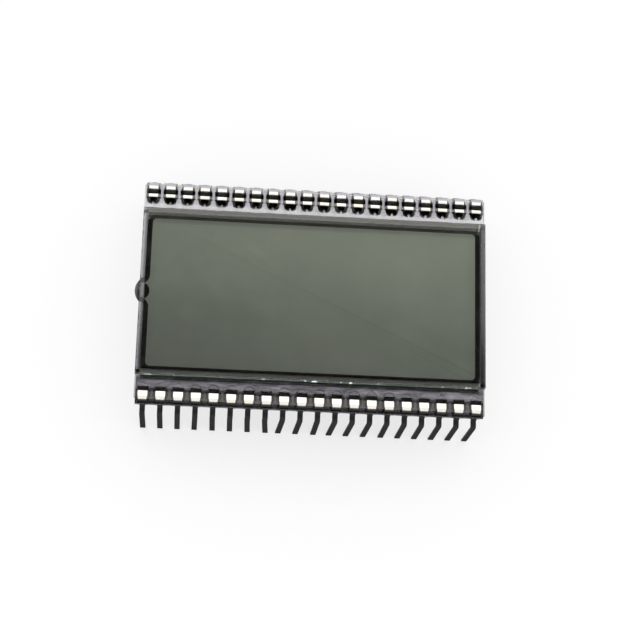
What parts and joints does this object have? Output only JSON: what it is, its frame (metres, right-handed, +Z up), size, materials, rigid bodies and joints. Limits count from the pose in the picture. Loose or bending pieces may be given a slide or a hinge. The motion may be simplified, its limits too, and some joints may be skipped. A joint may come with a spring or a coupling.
{
  "type": "segment lcd display",
  "caption": "Flat segment liquid crystal display: two sealed glass plates with polarizers, and a row of potted clip pins on each long edge for a dual in-line socket or board.",
  "frame": {"origin": "on the plane of the pin tips, midway between the two pin rows and midway along them", "axes": "+X along the pin rows from pin 1 towards pin 20, +Y from the near row to the far row, +Z up through the viewing face"},
  "size_m": [0.0515, 0.0358, 0.0125],
  "materials": {
    "clear_glass": "clear soda-lime glass, cut edges left as scribed",
    "seal_epoxy": "screen-printed epoxy, reads black between the polarizers",
    "liquid_crystal": "clear fluid film, grey-green between the polarizers",
    "plug_resin": "cured drop of dark translucent resin",
    "front_film": "neutral grey-green film, glossy",
    "rear_film": "neutral grey film",
    "reflector_foil": "satin metallised foil",
    "potting_resin": "clear potting resin over a bare ledge, wet gloss",
    "conductive_dot": "silver-filled epoxy dot, reads dark",
    "tin_plate": "tin plate on a sprung bronze strip, bright on the clip heads and dull on the legs"
  },
  "bodies": {
    "root": {"rear_glass": "clear_glass", "front_glass": "clear_glass", "perimeter_seal": "seal_epoxy", "liquid_crystal": "liquid_crystal", "fill_plug": "plug_resin", "front_polarizer": "front_film", "rear_polarizer": "rear_film", "reflector": "reflector_foil", "near_resin": "potting_resin", "far_resin": "potting_resin", "crossover_dot_1": "conductive_dot", "crossover_dot_2": "conductive_dot", "crossover_dot_3": "conductive_dot", "crossover_dot_4": "conductive_dot", "pin_01": "tin_plate", "pin_02": "tin_plate", "pin_03": "tin_plate", "pin_04": "tin_plate", "pin_05": "tin_plate", "pin_06": "tin_plate", "pin_07": "tin_plate", "pin_08": "tin_plate", "pin_09": "tin_plate", "pin_10": "tin_plate", "pin_11": "tin_plate", "pin_12": "tin_plate", "pin_13": "tin_plate", "pin_14": "tin_plate", "pin_15": "tin_plate", "pin_16": "tin_plate", "pin_17": "tin_plate", "pin_18": "tin_plate", "pin_19": "tin_plate", "pin_20": "tin_plate", "pin_21": "tin_plate", "pin_22": "tin_plate", "pin_23": "tin_plate", "pin_24": "tin_plate", "pin_25": "tin_plate", "pin_26": "tin_plate", "pin_27": "tin_plate", "pin_28": "tin_plate", "pin_29": "tin_plate", "pin_30": "tin_plate", "pin_31": "tin_plate", "pin_32": "tin_plate", "pin_33": "tin_plate", "pin_34": "tin_plate", "pin_35": "tin_plate", "pin_36": "tin_plate", "pin_37": "tin_plate", "pin_38": "tin_plate", "pin_39": "tin_plate", "pin_40": "tin_plate"}
  },
  "joints": []
}
